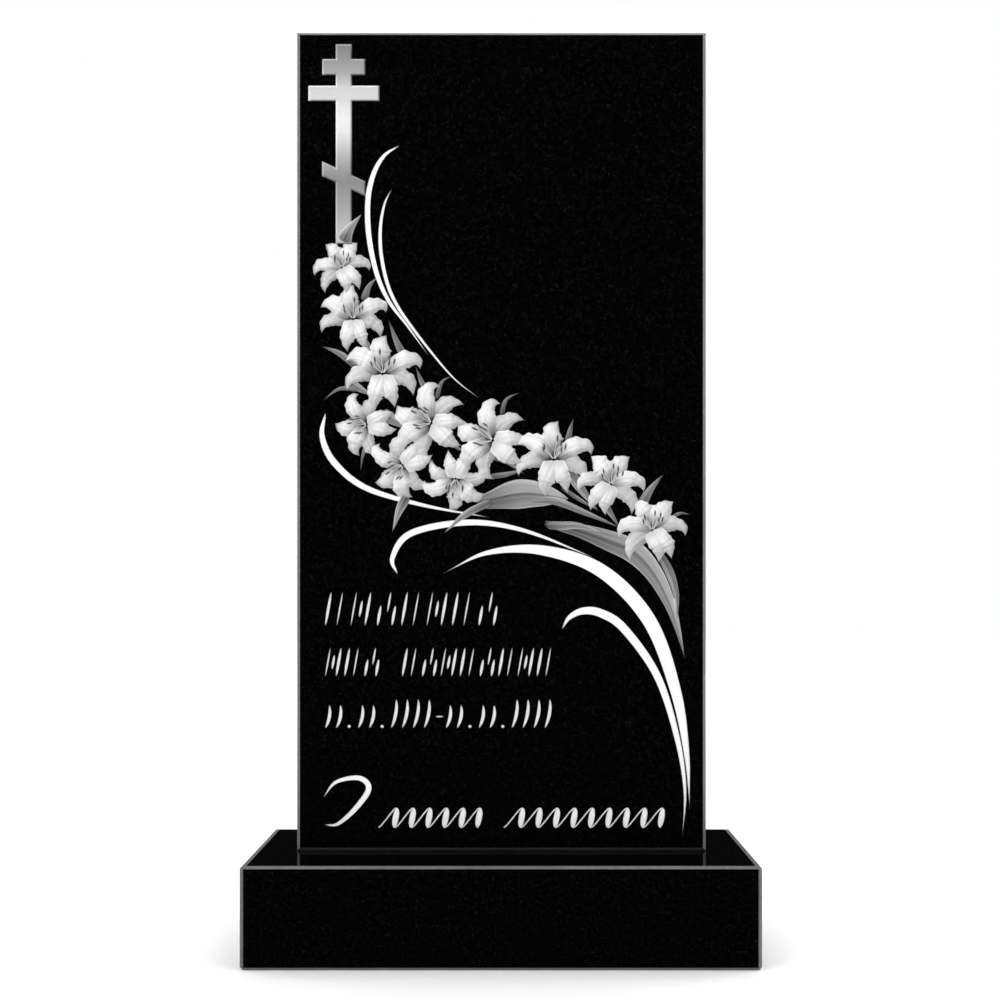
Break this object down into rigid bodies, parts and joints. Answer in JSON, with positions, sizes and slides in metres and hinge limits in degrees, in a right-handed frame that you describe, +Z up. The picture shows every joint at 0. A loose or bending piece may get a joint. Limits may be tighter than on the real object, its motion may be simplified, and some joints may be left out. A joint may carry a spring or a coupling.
{
  "type": "headstone",
  "caption": "Upright black granite headstone with an engraved cross, lily spray, sweeping flourishes and rows of plain strokes, standing on a low plinth.",
  "frame": {"origin": "middle of the plinth's underside", "axes": "+X to the viewer's right, -Y out of the engraved front face, +Z up"},
  "size_m": [0.605, 0.2, 1.1203],
  "materials": {
    "engraved_granite": "polished, with pale engraving",
    "plinth_granite": "polished"
  },
  "bodies": {
    "root": {"stela": "engraved_granite", "plinth": "plinth_granite"}
  },
  "joints": []
}
